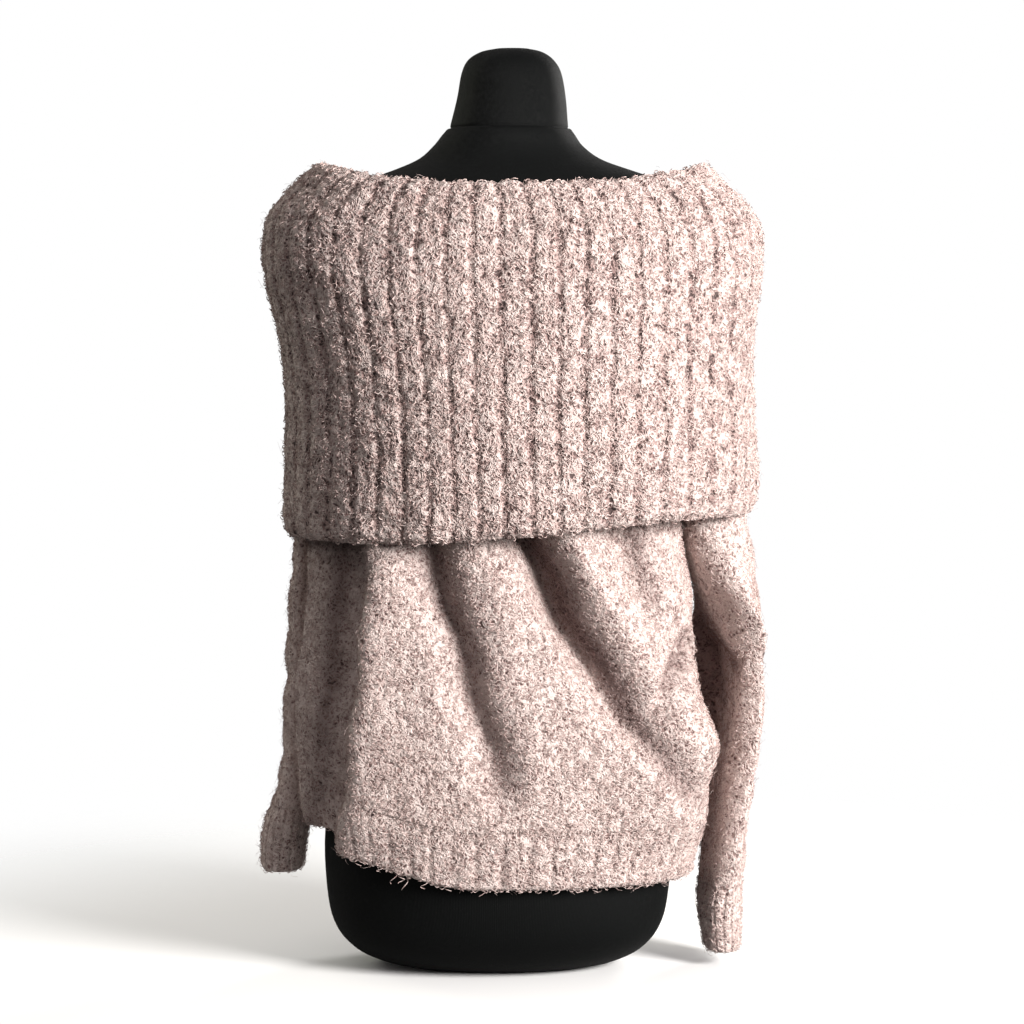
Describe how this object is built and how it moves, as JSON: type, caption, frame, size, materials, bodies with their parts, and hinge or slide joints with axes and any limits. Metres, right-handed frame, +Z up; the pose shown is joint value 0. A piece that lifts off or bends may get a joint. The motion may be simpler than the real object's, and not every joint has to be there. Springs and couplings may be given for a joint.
{
  "type": "off-shoulder sweater on a dress form",
  "caption": "Loose off-shoulder sweater in dusty pink bouclé knit with a deep folded rib collar, hanging empty sleeves and a ribbed hem, worn by a black limbless dress form",
  "frame": {"origin": "centre of the dress form's flat base, on the surface it stands on", "axes": "+Z is up, -Y is the side seen in the picture (the wearer's back), +X is the picture's right"},
  "size_m": [0.4703, 0.3124, 0.842],
  "materials": {
    "form_jersey": "black stretch jersey over a smooth form, matt",
    "plain_knit": "fuzzy dusty pink bouclé knit, brushed loops",
    "rib_knit": "fuzzy dusty pink bouclé yarn in a wide rib"
  },
  "bodies": {
    "root": {"dress_form": "form_jersey", "collar": "rib_knit", "back": "plain_knit", "front": "plain_knit", "sleeve_left": "plain_knit", "sleeve_right": "plain_knit", "hem_rib": "rib_knit", "cuff_left": "rib_knit", "cuff_right": "rib_knit"}
  },
  "joints": []
}
